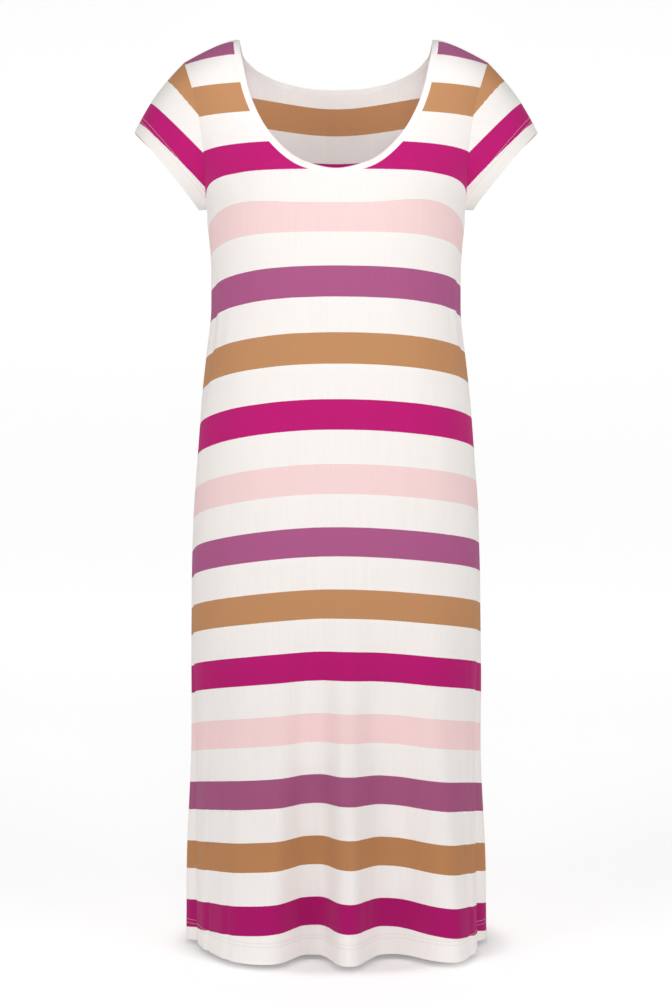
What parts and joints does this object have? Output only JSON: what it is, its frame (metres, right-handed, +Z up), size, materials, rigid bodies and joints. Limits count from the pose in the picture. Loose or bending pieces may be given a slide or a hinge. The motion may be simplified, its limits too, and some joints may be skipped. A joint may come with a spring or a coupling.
{
  "type": "shift dress",
  "caption": "Midi-length shift dress in striped jersey with short set-in sleeves and a scooped, bound neck, standing open in its worn form",
  "frame": {"origin": "midway between the neck ends of the two shoulder seams, where the wearer's shoulders hold the dress", "axes": "+Z up, towards the shoulders; the dress faces -Y; +X is the wearer's left"},
  "size_m": [0.5148, 0.2738, 1.1406],
  "materials": {
    "front_jersey": "matt fine jersey, off-white with stripes in pink, purple, camel and magenta",
    "back_jersey": "the same striped jersey",
    "sleeve_jersey": "the same striped jersey, cut across the same stripes",
    "binding_jersey": "plain off-white jersey, folded into a narrow rolled binding"
  },
  "bodies": {
    "root": {"front_panel": "front_jersey", "back_panel": "back_jersey", "sleeve_left": "sleeve_jersey", "sleeve_right": "sleeve_jersey", "neck_binding": "binding_jersey"}
  },
  "joints": []
}
